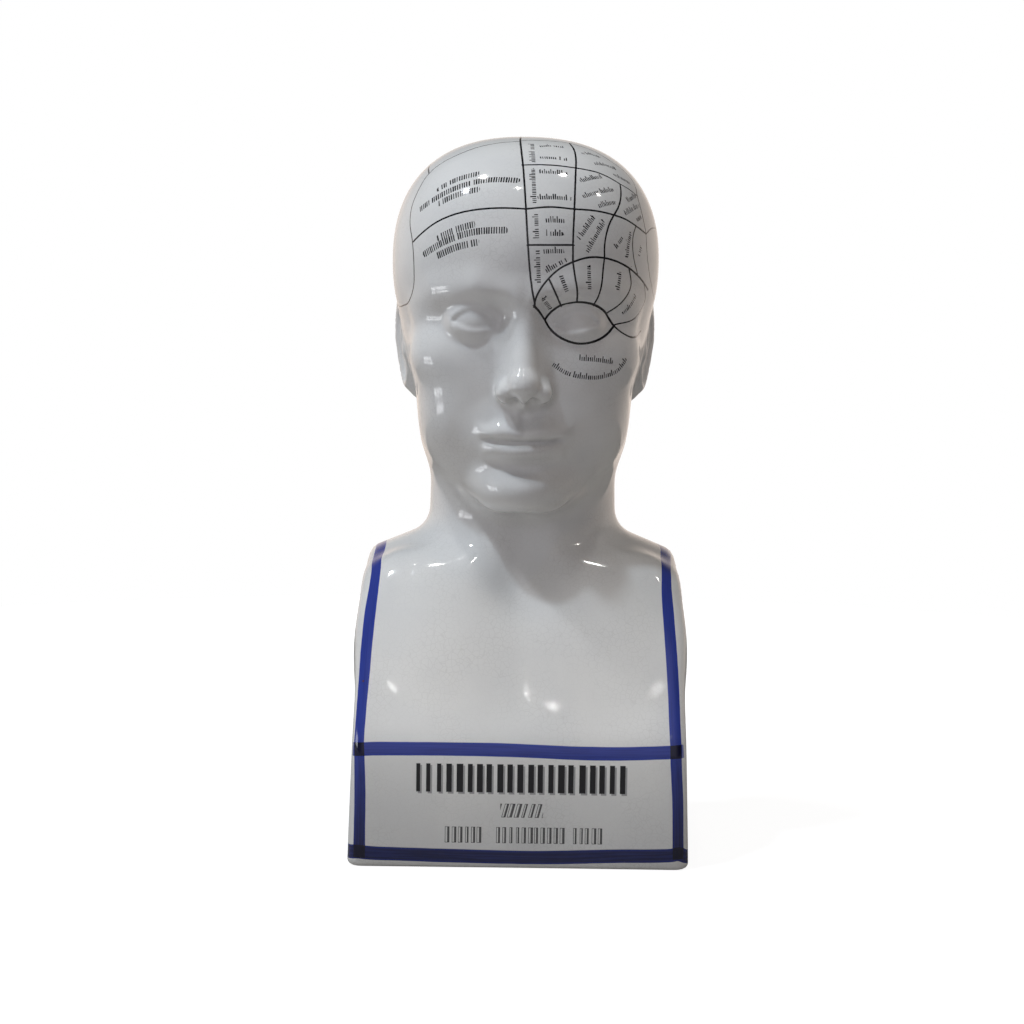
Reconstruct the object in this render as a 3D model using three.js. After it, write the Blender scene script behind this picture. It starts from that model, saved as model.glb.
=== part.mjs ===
// Phrenology head: a glazed ceramic bust on a square-cut block, made as one casting.
// Millimetres, +Z up, the face looks along -Y, and the origin is the middle of the underside.
import * as THREE from 'three';
import { mergeVertices } from 'three/addons/utils/BufferGeometryUtils.js';

// the straight block at the foot
const block = {
  width: 135.4,
  depth: 118,
  height: 48,
  corner: 6,
  footRound: 2,
};

// the leaning chest on it, up to the outer end of the shoulders
const chest = {
  shoulderWidth: 127.4,
  height: 70,
  frontLean: 0.30,
  backLean: 0.13,
  bendRound: 4,
  middleRound: 5,
};

// the roof of the shoulders: a ridge across the bust that falls to the sides, the front and the back
const shoulders = {
  rise: 27.5,
  slope: 0.41,
  ridgeY: 8,
  frontFall: 0.0075,
  backFall: 0.0085,
  sideRound: 4,
  frontRound: 20,
};

const neck = {
  width: 75,
  depth: 71,
  length: 22,
  flare: 1.5,
  fillet: 8,
  throatFillet: 14,
};

// chin to crown; the head's features are shares of this height. The middle round is how far each
// side's shapes stand apart at the middle, so that they meet without a crease.
const head = {
  height: 150,
  neckFillet: 10,
  middleRound: 1.2,
};

// heights worked out from the sizes above
const shoulderZ = block.height + chest.height;
const chinZ = shoulderZ + neck.length;

// the mesh's columns, from the face round one side to the back of the head: how many fall in each
// span of the way round, in degrees, so that the face and the ears get more of them
const columnSpans = [
  { name: 'nose and mouth', from: 0, to: 16, columns: 8 },
  { name: 'eye', from: 16, to: 36, columns: 8 },
  { name: 'cheek', from: 36, to: 80, columns: 7 },
  { name: 'ear', from: 80, to: 118, columns: 11 },
  { name: 'back', from: 118, to: 180, columns: 8 },
];
const halfColumns = columnSpans.reduce((sum, span) => sum + span.columns, 0);
const columns = 2 * halfColumns;

const mix = (from, to, share) => from + (to - from) * share;
const clamp = (value) => Math.min(Math.max(value, 0), 1);
const radians = (degrees) => degrees * Math.PI / 180;

// smooth step from 0 at one value to 1 at another
function ramp(value, from, to) {
  const share = clamp((value - from) / (to - from));
  return share * share * (3 - 2 * share);
}

// 1 at zero, falling off over a width
function bump(value, width) {
  return Math.exp(-((value / width) ** 2));
}

// Distances are negative inside. Two shapes joined, with a fillet between them.
function join(a, b, fillet) {
  const near = Math.max(fillet - Math.abs(a - b), 0) / fillet;
  return Math.min(a, b) - near * near * fillet / 4;
}

// a shape less a second one, with its edge rounded
function carve(a, b, round) {
  return -join(-a, b, round);
}

// turn is about the vertical and roll about the line of sight, in degrees; a power over 2 is boxier
function ellipsoid(point, centre, radii, { turn = 0, roll = 0, power = 2 } = {}) {
  let [x, y, z] = point.map((value, axis) => value - centre[axis]);
  if (turn) {
    const [c, s] = [Math.cos(radians(turn)), Math.sin(radians(turn))];
    [x, y] = [x * c + y * s, y * c - x * s];
  }
  if (roll) {
    const [c, s] = [Math.cos(radians(roll)), Math.sin(radians(roll))];
    [x, z] = [x * c + z * s, z * c - x * s];
  }
  const scaled = [x, y, z].map((value, axis) => Math.abs(value) / radii[axis]);
  const outward = scaled.reduce((sum, value) => sum + value ** power, 0) ** (1 / power);
  const gradient = Math.hypot(...scaled.map((value, axis) => value ** (power - 1) / radii[axis]));
  return (outward - 1) * outward ** (power - 1) / Math.max(gradient, 1e-9);
}

// a limb with round ends through two or more stations, each [x, y, z, radius]
function limb(point, ...stations) {
  let nearest = Infinity;
  for (let i = 0; i + 1 < stations.length; i += 1) {
    const [from, to] = [stations[i], stations[i + 1]];
    const along = [0, 1, 2].map((axis) => to[axis] - from[axis]);
    const away = [0, 1, 2].map((axis) => point[axis] - from[axis]);
    const dot = away[0] * along[0] + away[1] * along[1] + away[2] * along[2];
    const share = clamp(dot / (along[0] ** 2 + along[1] ** 2 + along[2] ** 2));
    const gap = Math.hypot(...away.map((value, axis) => value - share * along[axis]));
    nearest = Math.min(nearest, gap - mix(from[3], to[3], share));
  }
  return nearest;
}

// The head's shapes work in shares of its height: x out to either side, y back from the middle of
// the neck, z up from the chin.
function skull(point) {
  const braincase = ellipsoid(point, [0, 0.055, 0.660], [0.362, 0.405, 0.339], { power: 2.45 });
  const forehead = ellipsoid(point, [0, -0.105, 0.665], [0.305, 0.290, 0.262]);
  const backOfHead = ellipsoid(point, [0, 0.200, 0.475], [0.260, 0.225, 0.250]);
  return join(join(braincase, forehead, 0.10), backOfHead, 0.10);
}

function face(point, skullDistance) {
  let d = join(skullDistance, ellipsoid(point, [0, -0.120, 0.400], [0.268, 0.255, 0.320]), 0.06);
  const cheekbone = ellipsoid(point, [0.175, -0.235, 0.400], [0.105, 0.095, 0.080]);
  const cheekArch = limb(point, [0.215, -0.200, 0.415, 0.050], [0.260, 0.020, 0.435, 0.045]);
  const cheek = ellipsoid(point, [0.130, -0.215, 0.270], [0.110, 0.110, 0.130]);
  d = join(join(join(d, cheekbone, 0.08), cheekArch, 0.10), cheek, 0.08);
  const jaw = limb(point, [0.205, 0.020, 0.330, 0.085], [0.195, -0.010, 0.195, 0.068],
    [0.060, -0.275, 0.070, 0.070]);
  d = join(d, jaw, 0.10);
  d = join(d, ellipsoid(point, [0.165, -0.110, 0.250], [0.115, 0.190, 0.160]), 0.06);
  const muzzle = ellipsoid(point, [0, -0.262, 0.210], [0.150, 0.125, 0.110]);
  const chin = ellipsoid(point, [0, -0.330, 0.064], [0.082, 0.066, 0.060]);
  const underChin = ellipsoid(point, [0, -0.100, 0.100], [0.170, 0.220, 0.100]);
  d = join(join(join(d, muzzle, 0.05), chin, 0.05), underChin, 0.06);
  const brow = limb(point, [0.035, -0.360, 0.565, 0.024], [0.120, -0.354, 0.590, 0.027],
    [0.210, -0.288, 0.577, 0.026], [0.255, -0.210, 0.530, 0.022]);
  const betweenBrows = ellipsoid(point, [0, -0.346, 0.568], [0.060, 0.036, 0.050]);
  d = join(join(d, brow, 0.06), betweenBrows, 0.05);
  d = carve(d, ellipsoid(point, [0.131, -0.432, 0.500], [0.085, 0.088, 0.050], { roll: -4 }), 0.05);
  return carve(d, ellipsoid(point, [0.066, -0.412, 0.512], [0.024, 0.045, 0.036]), 0.045);
}

function nose(point) {
  const [, y, z] = point;
  const wedge = limb(point, [0, -0.318, 0.545, 0.036], [0, -0.370, 0.338, 0.064]);
  const ridge = limb(point, [0, -0.350, 0.545, 0.024], [0, -0.388, 0.455, 0.023],
    [0, -0.434, 0.352, 0.029]);
  const tip = ellipsoid(point, [0, -0.438, 0.337], [0.038, 0.036, 0.033]);
  const underside = z - 0.298 + 0.20 * (y + 0.40);
  const wing = ellipsoid(point, [0.045, -0.392, 0.320], [0.028, 0.044, 0.029], { turn: 16 });
  const bridge = limb(point, [0, -0.380, 0.288, 0.013], [0, -0.432, 0.308, 0.014]);
  const nostril = ellipsoid(point, [0.027, -0.412, 0.292], [0.013, 0.026, 0.013], { turn: 18 });
  let d = carve(join(join(wedge, ridge, 0.03), tip, 0.025), underside, 0.022);
  d = join(join(d, wing, 0.018), bridge, 0.018);
  return carve(d, nostril, 0.012);
}

// an eyeball under lids that leave an almond open
function eye(point) {
  const [x, , z] = point;
  const arch = 1 - ((x - 0.131) / 0.062) ** 2;
  const middle = 0.500 + 0.05 * (x - 0.131);
  const pastLids = Math.max(z - middle - 0.034 * arch, middle - 0.021 * arch - z);
  const lidThickness = 0.009 * ramp(pastLids, -0.009, 0.007);
  return ellipsoid(point, [0.131, -0.301, 0.500], [0.068, 0.064, 0.059]) - lidThickness;
}

// lips, the line between them, the furrow above and the fold below
function mouth(point, faceDistance) {
  const [x, y, z] = point;
  const lips = [
    ellipsoid(point, [0.028, -0.368, 0.214], [0.050, 0.037, 0.024], { roll: 10 }),
    ellipsoid(point, [0.068, -0.346, 0.205], [0.044, 0.032, 0.015], { roll: 14 }),
    ellipsoid(point, [0, -0.366, 0.166], [0.062, 0.038, 0.026]),
    ellipsoid(point, [0.055, -0.344, 0.175], [0.044, 0.032, 0.017], { roll: -14 }),
  ];
  const d = lips.reduce((all, lip) => join(all, lip, 0.026), faceDistance);
  const onFace = ramp(-y, 0.20, 0.28);
  const line = bump(z - 0.190 - 0.7 * x ** 2, 0.0075) * (1 - ramp(x, 0.085, 0.118));
  const furrow = bump(x, 0.013) * ramp(z, 0.222, 0.240) * (1 - ramp(z, 0.262, 0.285));
  const fold = ellipsoid(point, [0, -0.422, 0.118], [0.070, 0.040, 0.020]);
  return carve(d + (0.010 * line + 0.005 * furrow) * onFace, fold, 0.035);
}

// a low ear that leans back: rim, inner fold, bowl and the small knob in front
function ear(point) {
  const lean = radians(12);
  const [y, z] = [point[1] - 0.070, point[2] - 0.430];
  const up = z * Math.cos(lean) - y * Math.sin(lean);
  const back = y * Math.cos(lean) + z * Math.sin(lean);
  const height = up / 0.140;
  const outward = Math.hypot(back / (0.082 * (1 + 0.28 * height)), height);
  const rim = 0.018 * bump(outward - 0.82, 0.15);
  const fold = 0.010 * bump(outward - 0.48, 0.13) * clamp(0.5 + back * 14);
  const bowl = 0.024 * bump(Math.hypot((back + 0.016) / 0.030, (up + 0.012) / 0.046), 1);
  const surface = 0.010 + rim + fold - bowl - 0.012 * clamp(-height);
  const disc = carve((outward - 1) * 0.07, surface - (point[0] - 0.318 - back * 0.25), 0.014);
  return join(disc, ellipsoid(point, [0.315, 0.012, 0.420], [0.022, 0.018, 0.028]), 0.015);
}

function headDistance(x, y, z) {
  const point = [Math.hypot(x, head.middleRound), y, z - chinZ].map((value) => value / head.height);
  let d = face(point, skull(point));
  d = join(d, nose(point), 0.03);
  d = join(d, eye(point), 0.016);
  d = join(mouth(point, d), ear(point), 0.016);
  return d * head.height;
}

// the block and the chest: a rounded rectangle whose walls lean in, under the shoulders' roof
function torsoDistance(x, y, z) {
  const side = Math.abs(x);
  const leanAcross = (block.width - chest.shoulderWidth) / 2 / shoulderZ;
  const halfWidth = block.width / 2 - leanAcross * z;
  const bend = chest.bendRound;
  const above = z - block.height - bend / 2;
  const leaning = Math.abs(above) < bend ? (above + bend) ** 2 / (4 * bend) : Math.max(above, 0);
  const front = -block.depth / 2 + chest.frontLean * leaning;
  const back = block.depth / 2 - chest.backLean * leaning;
  const [middle, halfDepth] = [(front + back) / 2, (back - front) / 2];
  const acrossCorner = side - halfWidth + block.corner;
  const alongCorner = Math.abs(y - middle) - halfDepth + block.corner;
  const wall = Math.min(Math.max(acrossCorner, alongCorner), 0)
    + Math.hypot(Math.max(acrossCorner, 0), Math.max(alongCorner, 0)) - block.corner;
  const fromRidge = y - shoulders.ridgeY;
  const fall = fromRidge < 0 ? shoulders.frontFall : shoulders.backFall;
  const ridgeZ = shoulderZ + shoulders.rise - shoulders.slope * side;
  const steepness = Math.hypot(1, shoulders.slope, 2 * fall * fromRidge);
  const roof = (z - ridgeZ + fall * fromRidge ** 2) / steepness;
  const towardsFront = clamp((Math.abs(y - middle) / halfDepth - side / halfWidth) * 2 + 0.5);
  return carve(wall, -roof, mix(shoulders.sideRound, shoulders.frontRound, towardsFront));
}

// the neck's column, leaning forward a little, with the muscles of the throat
function neckDistance(x, y, z) {
  const point = [Math.abs(x), y, z];
  const up = clamp((z - chinZ + head.height * 0.27) / (head.height * 0.6));
  const halfWidth = neck.width / 2 + neck.flare * (1 - up);
  const outward = Math.hypot(x / halfWidth, (y - 1 - 8 * up) / (neck.depth / 2));
  const column = carve((outward - 1) * neck.depth / 2, chinZ + head.height / 3 - z, 10);
  const behindJaw = [0.82 * neck.width / 2, 14, chinZ + head.height / 4, 6];
  const pit = [0.26 * neck.width / 2, -0.76 * neck.depth / 2, shoulderZ + 4, 5];
  return join(column, limb(point, behindJaw, pit), neck.throatFillet);
}

// the soft forms of the chest: collar bones, breast and the hollow between the bones
function withChestForms(x, y, z, torso) {
  const point = [Math.hypot(x, chest.middleRound), y, z];
  const [halfWidth, halfDepth] = [block.width / 2, block.depth / 2];
  const [boneZ, breastZ] = [shoulderZ - 6, block.height + chest.height / 2];
  const innerBone = [0.18 * halfWidth, -0.58 * halfDepth, boneZ, 1.5];
  const outerBone = [0.74 * halfWidth, -0.41 * halfDepth, boneZ, 3];
  const breastRadii = [halfWidth / 2, 17, 0.42 * chest.height];
  const breast = ellipsoid(point, [0.4 * halfWidth, -0.525 * halfDepth, breastZ], breastRadii);
  const hollow = ellipsoid(point, [0, -0.83 * halfDepth, shoulderZ + 2], [7, 8, 11]);
  return carve(join(join(torso, limb(point, innerBone, outerBone), 18), breast, 16), hollow, 20);
}

function bustDistance(x, y, z) {
  let d = join(torsoDistance(x, y, z), neckDistance(x, y, z), neck.fillet);
  d = withChestForms(x, y, z, d);
  d = join(d, headDistance(x, y, z), head.neckFillet);
  return carve(d, z, block.footRound * 1.4);
}

// The surface is found along rays that start inside the bust. Each ring says how many rows follow
// it, and where its rays start and aim towards the front, the side and the back: the height of the
// start, the reach from the middle and the height aimed at, here in shares of the head's height.
const headRings = [
  { at: 'crown', rows: 7, front: [0.57, 0, 1], side: [0.57, 0, 1], back: [0.57, 0, 1] },
  { at: 'brow', rows: 4, front: [0.57, 0.39, 0.64], side: [0.57, 0.36, 0.67], back: [0.57, 0.45, 0.70] },
  { at: 'lid', rows: 6, front: [0.57, 0.33, 0.553], side: [0.57, 0.36, 0.59], back: [0.57, 0.47, 0.64] },
  { at: 'cheek', rows: 4, front: [0.55, 0.33, 0.447], side: [0.55, 0.36, 0.49], back: [0.55, 0.47, 0.57] },
  { at: 'tip', rows: 4, front: [0.55, 0.44, 0.333], side: [0.52, 0.36, 0.40], back: [0.55, 0.45, 0.49] },
  { at: 'nostril', rows: 5, front: [0.52, 0.39, 0.283], side: [0.49, 0.36, 0.35], back: [0.53, 0.44, 0.45] },
  { at: 'mouth', rows: 4, front: [0.33, 0.40, 0.191], side: [0.44, 0.33, 0.29], back: [0.51, 0.40, 0.40] },
  { at: 'fold', rows: 3, front: [0.31, 0.37, 0.117], side: [0.41, 0.31, 0.25], back: [0.49, 0.37, 0.37] },
  { at: 'chin', rows: 3, front: [0.27, 0.40, 0.053], side: [0.39, 0.28, 0.21], back: [0.47, 0.35, 0.34] },
  { at: 'jaw', rows: 3, front: [0.23, 0.33, -0.003], side: [0.38, 0.27, 0.19], back: [0.46, 0.33, 0.31] },
  { at: 'throat', rows: 4, front: [0.19, 0.20, -0.02], side: [0.37, 0.257, 0.13], back: [0.44, 0.28, 0.24] },
];

const toMillimetres = ([start, reach, height]) => [
  chinZ + start * head.height,
  reach * head.height,
  chinZ + height * head.height,
];

// From the neck down the rays are set by the bust's own sizes, and where a ring says so, its reach
// is an inset from the block's wall.
const bendZ = block.height + chest.bendRound / 2;
const coreZ = 0.4 * block.height;
const allRound = (aimed) => ({ front: aimed, side: aimed, back: aimed });
const bodyRings = [
  {
    at: 'neck foot',
    rows: 4,
    front: [shoulderZ - 6, neck.depth / 2 - 2.5, shoulderZ - 1],
    side: [shoulderZ - 24, neck.width / 2, shoulderZ + 14],
    back: [shoulderZ - 14, neck.depth / 2 + 6.5, shoulderZ + 10],
  },
  {
    at: 'shoulder edge',
    rows: 3,
    fromWall: true,
    front: [shoulderZ - 14, 16, shoulderZ - 9],
    side: [shoulderZ - 24, 6, shoulderZ + 1],
    back: [shoulderZ - 16, 10, shoulderZ + 4],
  },
  {
    at: 'wall',
    rows: 3,
    fromWall: true,
    front: [shoulderZ - 26, 10, shoulderZ - 26],
    side: [shoulderZ - 16, 4, shoulderZ - 16],
    back: [shoulderZ - 22, 7, shoulderZ - 22],
  },
  { at: 'bend', rows: 1, fromWall: true, ...allRound([bendZ, 0, bendZ]) },
  { at: 'foot', rows: 1, fromWall: true, ...allRound([coreZ, 0, block.footRound]) },
  { at: 'rim', rows: 1, fromWall: true, ...allRound([coreZ, block.footRound * 1.1, 0]) },
  { at: 'middle', rows: 0, ...allRound([coreZ, 0, 0]) },
];

const rings = [
  ...headRings.map((ring) => ({
    ...ring,
    front: toMillimetres(ring.front),
    side: toMillimetres(ring.side),
    back: toMillimetres(ring.back),
  })),
  ...bodyRings,
];
const lastHeadRing = headRings.length - 2;
const startY = 2;

// distance from the middle to the block's wall, in the direction of an angle from the front
function wallReach(angle) {
  const across = block.width / 2 / Math.max(Math.abs(Math.sin(angle)), 1e-6);
  const along = block.depth / 2 / Math.max(Math.abs(Math.cos(angle)), 1e-6);
  return Math.min(across, along);
}

function aim(ring, angle) {
  const front = Math.max(Math.cos(angle), 0) ** 2;
  const back = Math.max(-Math.cos(angle), 0) ** 2;
  const side = Math.sin(angle) ** 2;
  const [start, reach, height] = [0, 1, 2].map(
    (i) => front * ring.front[i] + side * ring.side[i] + back * ring.back[i],
  );
  return [start, ring.fromWall ? wallReach(angle) - reach : reach, height];
}

// Columns follow the spans on the head, and sit on the corners of the block below.
function headAngle(column) {
  const mirrored = column > halfColumns;
  let left = mirrored ? columns - column : column;
  const span = columnSpans.find(({ columns: held }) => {
    const here = left <= held;
    left -= here ? 0 : held;
    return here;
  });
  const angle = radians(mix(span.from, span.to, left / span.columns));
  return mirrored ? 2 * Math.PI - angle : angle;
}

function blockAngle(column) {
  const quarters = 4 * column / columns;
  const quarter = Math.floor(quarters) % 4;
  const odd = quarter % 2 === 1;
  const share = odd ? 1 - (quarters - Math.floor(quarters)) : quarters - Math.floor(quarters);
  const [straightX, straightY] = [block.width / 2 - block.corner, block.depth / 2 - block.corner];
  const [cornerStart, cornerEnd] = [0.38, 0.62];
  const bend = clamp((share - cornerStart) / (cornerEnd - cornerStart)) * Math.PI / 2;
  const x = straightX * clamp(share / cornerStart) + block.corner * Math.sin(bend);
  const y = straightY * clamp((1 - share) / (1 - cornerEnd)) + block.corner * Math.cos(bend);
  const angle = Math.atan2(x, y);
  return [angle, Math.PI - angle, Math.PI + angle, 2 * Math.PI - angle][quarter];
}

// the point where a ray from inside first meets the surface
function surfaceOn(start, direction) {
  const at = (reach) => start.map((value, axis) => value + reach * direction[axis]);
  const shortestStep = 0.35;
  const stepShare = 0.8;
  let inside = 0;
  let outside = 4;
  let d = bustDistance(...at(outside));
  while (d < 0) {
    inside = outside;
    outside += Math.max(-d * stepShare, shortestStep);
    d = bustDistance(...at(outside));
  }
  for (let halving = 0; halving < 14; halving += 1) {
    const middle = (inside + outside) / 2;
    if (bustDistance(...at(middle)) < 0) {
      inside = middle;
    } else {
      outside = middle;
    }
  }
  return at((inside + outside) / 2);
}

// one row of the mesh, at a share of the way from a ring to the next
function rowOfPoints(ringIndex, share) {
  const turning = ramp(ringIndex + share, lastHeadRing, headRings.length);
  const points = [];
  for (let column = 0; column < columns; column += 1) {
    const angle = mix(headAngle(column), blockAngle(column), turning);
    const from = aim(rings[ringIndex], angle);
    const to = aim(rings[Math.min(ringIndex + 1, rings.length - 1)], angle);
    const [startZ, reach, height] = from.map((value, i) => mix(value, to[i], share));
    const [across, along] = [reach * Math.sin(angle), -reach * Math.cos(angle)];
    const direction = new THREE.Vector3(across, along, height - startZ).normalize();
    points.push(surfaceOn([0, startY * (1 - turning), startZ], direction.toArray()));
  }
  points.push(points[0]);
  return points;
}

function bustGeometry() {
  const rowsOfPoints = [];
  rings.forEach((ring, ringIndex) => {
    for (let row = 0; row < Math.max(ring.rows, 1); row += 1) {
      rowsOfPoints.push(rowOfPoints(ringIndex, row / Math.max(ring.rows, 1)));
    }
  });
  const geometry = new THREE.SphereGeometry(1, columns, rowsOfPoints.length - 1);
  const positions = geometry.attributes.position;
  rowsOfPoints.flat().forEach((point, index) => positions.setXYZ(index, ...point));
  geometry.deleteAttribute('normal');
  geometry.deleteAttribute('uv');
  const merged = mergeVertices(geometry, 1e-3);
  merged.computeVertexNormals();
  return merged;
}

const glaze = new THREE.MeshStandardMaterial({ color: 0xe4e4e1, roughness: 0.12, metalness: 0 });

const bust = new THREE.Mesh(bustGeometry(), glaze);
bust.name = 'phrenology_bust';

const object = new THREE.Group();
object.add(bust);

export default object;
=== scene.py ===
import math
from functools import partialmethod
import bpy
import numpy as np
from mathutils import Matrix, Vector


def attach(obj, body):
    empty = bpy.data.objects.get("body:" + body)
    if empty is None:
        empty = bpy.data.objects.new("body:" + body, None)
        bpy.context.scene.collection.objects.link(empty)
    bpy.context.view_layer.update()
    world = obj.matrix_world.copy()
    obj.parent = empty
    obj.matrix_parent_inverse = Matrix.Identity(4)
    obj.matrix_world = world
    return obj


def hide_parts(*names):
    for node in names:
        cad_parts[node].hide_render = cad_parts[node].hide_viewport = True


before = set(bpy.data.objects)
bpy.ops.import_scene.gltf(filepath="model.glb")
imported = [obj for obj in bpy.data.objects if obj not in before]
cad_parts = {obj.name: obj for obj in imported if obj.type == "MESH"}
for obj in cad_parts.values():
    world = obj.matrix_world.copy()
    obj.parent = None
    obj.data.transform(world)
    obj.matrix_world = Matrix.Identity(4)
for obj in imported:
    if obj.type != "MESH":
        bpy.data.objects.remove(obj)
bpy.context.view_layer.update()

# Phrenology head: one piece of glazed white ware with painted blue bands, a printed chart on the
# head and rows of printed strokes. Sizes are in millimetres until a mesh is made.
metres = 0.001
scene = bpy.context.scene
rng = np.random.default_rng(7)

camera = {
    "distance": 950.0,  # from the target
    "target": (0.0, 0.0, 145.0),
    "elevation": 5.0,
    "lean": 0.77,  # how far the bust leans to the right in the picture, in degrees
    "focalPixels": 2292.7,
    "targetPixel": (522.67, 489.85),
    "imageSize": 1024,
}

# The bust's own sizes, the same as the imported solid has
block = {"width": 135.4, "depth": 118.0, "height": 48.0, "corner": 6.0, "footRound": 2.0}
chest = {"shoulderWidth": 127.4, "height": 70.0, "frontLean": 0.3, "backLean": 0.13, "bendRound": 4.0,
         "middleRound": 5.0}
shoulders = {"rise": 27.5, "slope": 0.41, "ridgeY": 8.0, "frontFall": 0.0075, "backFall": 0.0085,
             "sideRound": 4.0, "frontRound": 20.0}
neck = {"width": 75.0, "depth": 71.0, "length": 22.0, "flare": 1.5, "fillet": 8.0, "throatFillet": 14.0}
head = {"height": 150.0, "neckFillet": 10.0, "middleRound": 1.2}
halfWide, halfDeep = block["width"] / 2, block["depth"] / 2
headTall = head["height"]
shoulderZ = block["height"] + chest["height"]
chinZ = shoulderZ + neck["length"]


def addObject(name, data):
    made = bpy.data.objects.new(name, data)
    scene.collection.objects.link(made)
    return made


def ramp(value, low, high):
    share = np.clip((value - low) / (high - low), 0, 1)
    return share * share * (3 - 2 * share)


def bump(value, width):
    return np.exp(-(value / width) ** 2)


def blend(a, b, fillet):  # two shapes joined with a fillet; distances are negative inside
    near = np.clip(fillet - np.abs(a - b), 0, None) / fillet
    return np.minimum(a, b) - near * near * fillet / 4


def carve(a, b, rounding):
    return -blend(-a, b, rounding)


def ellipsoid(p, centre, radii, turn=0.0, roll=0.0, power=2.0):
    x, y, z = (p[axis] - centre[axis] for axis in range(3))
    if turn:
        c, s = math.cos(math.radians(turn)), math.sin(math.radians(turn))
        x, y = x * c + y * s, y * c - x * s
    if roll:
        c, s = math.cos(math.radians(roll)), math.sin(math.radians(roll))
        x, z = x * c + z * s, z * c - x * s
    scaled = [np.abs(value) / radius for value, radius in zip((x, y, z), radii)]
    outward = sum(value ** power for value in scaled) ** (1 / power)
    slope = np.sqrt(sum((value ** (power - 1) / radius) ** 2 for value, radius in zip(scaled, radii)))
    return (outward - 1) * outward ** (power - 1) / np.maximum(slope, 1e-9)


def limb(p, *stations):  # round-ended limb through stations of x, y, z and radius
    nearest = None
    for start, end in zip(stations, stations[1:]):
        run = [end[axis] - start[axis] for axis in range(3)]
        away = [p[axis] - start[axis] for axis in range(3)]
        share = np.clip(sum(a * r for a, r in zip(away, run)) / sum(r * r for r in run), 0, 1)
        gap = np.sqrt(sum((a - share * r) ** 2 for a, r in zip(away, run)))
        gap = gap - start[3] - (end[3] - start[3]) * share
        nearest = gap if nearest is None else np.minimum(nearest, gap)
    return nearest


def joined(p, shapes, d=None):
    # ellipsoids have a centre and radii, limbs have stations; the last number of each is its fillet,
    # below zero where the shape is carved out
    for *parts, fillet in shapes:
        shape = (limb if len(parts[0]) == 4 else ellipsoid)(p, *parts)
        if d is not None:
            shape = blend(d, shape, fillet) if fillet > 0 else carve(d, shape, -fillet)
        d = shape
    return d


# The head's forms, in shares of its height
headShapes = {
    "skullAndFace": [
        ((0, 0.055, 0.66), (0.362, 0.405, 0.339), 0, 0, 2.45, 0),
        ((0, -0.105, 0.665), (0.305, 0.29, 0.262), 0.1),
        ((0, 0.2, 0.475), (0.26, 0.225, 0.25), 0.1),
        ((0, -0.12, 0.4), (0.268, 0.255, 0.32), 0.06),
        ((0.175, -0.235, 0.4), (0.105, 0.095, 0.08), 0.08),  # cheekbone
        ((0.215, -0.2, 0.415, 0.05), (0.26, 0.02, 0.435, 0.045), 0.1),
        ((0.13, -0.215, 0.27), (0.11, 0.11, 0.13), 0.08),  # cheek
        ((0.205, 0.02, 0.33, 0.085), (0.195, -0.01, 0.195, 0.068), (0.06, -0.275, 0.07, 0.07), 0.1),
        ((0.165, -0.11, 0.25), (0.115, 0.19, 0.16), 0.06),
        ((0, -0.262, 0.21), (0.15, 0.125, 0.11), 0.05),
        ((0, -0.33, 0.064), (0.082, 0.066, 0.06), 0.05),  # chin
        ((0, -0.1, 0.1), (0.17, 0.22, 0.1), 0.06),
        ((0.035, -0.36, 0.565, 0.024), (0.12, -0.354, 0.59, 0.027), (0.21, -0.288, 0.577, 0.026),
         (0.255, -0.21, 0.53, 0.022), 0.06),  # brow
        ((0, -0.346, 0.568), (0.06, 0.036, 0.05), 0.05),
        ((0.131, -0.432, 0.5), (0.085, 0.088, 0.05), 0, -4, -0.05),  # eye socket
        ((0.066, -0.412, 0.512), (0.024, 0.045, 0.036), -0.045),
    ],
    "bridge": [
        ((0, -0.318, 0.545, 0.036), (0, -0.37, 0.338, 0.064), 0),
        ((0, -0.35, 0.545, 0.024), (0, -0.388, 0.455, 0.023), (0, -0.434, 0.352, 0.029), 0.03),
        ((0, -0.438, 0.337), (0.038, 0.036, 0.033), 0.025),
    ],
    "nostrils": [
        ((0.045, -0.392, 0.32), (0.028, 0.044, 0.029), 16, 0.018),
        ((0, -0.38, 0.288, 0.013), (0, -0.432, 0.308, 0.014), 0.018),
        ((0.027, -0.412, 0.292), (0.013, 0.026, 0.013), 18, -0.012),
    ],
    "lips": [
        ((0.028, -0.368, 0.214), (0.05, 0.037, 0.024), 0, 10, 0.026),
        ((0.068, -0.346, 0.205), (0.044, 0.032, 0.015), 0, 14, 0.026),
        ((0, -0.366, 0.166), (0.062, 0.038, 0.026), 0.026),
        ((0.055, -0.344, 0.175), (0.044, 0.032, 0.017), 0, -14, 0.026),
    ],
}


def noseForm(p):
    d = carve(joined(p, headShapes["bridge"]), p[2] - 0.298 + 0.2 * (p[1] + 0.4), 0.022)
    return joined(p, headShapes["nostrils"], d)


def eyeForm(p):
    arch = 1 - ((p[0] - 0.131) / 0.062) ** 2
    middle = 0.5 + 0.05 * (p[0] - 0.131)
    pastLids = np.maximum(p[2] - middle - 0.034 * arch, middle - 0.021 * arch - p[2])
    ball = ellipsoid(p, (0.131, -0.301, 0.5), (0.068, 0.064, 0.059))
    return ball - 0.009 * ramp(pastLids, -0.009, 0.007)


def mouthForm(p, d):
    d = joined(p, headShapes["lips"], d)
    line = bump(p[2] - 0.19 - 0.7 * p[0] ** 2, 0.0075) * (1 - ramp(p[0], 0.085, 0.118))
    furrow = bump(p[0], 0.013) * ramp(p[2], 0.222, 0.24) * (1 - ramp(p[2], 0.262, 0.285))
    d = d + (0.01 * line + 0.005 * furrow) * ramp(-p[1], 0.2, 0.28)
    return carve(d, ellipsoid(p, (0, -0.422, 0.118), (0.07, 0.04, 0.02)), 0.035)


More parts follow.
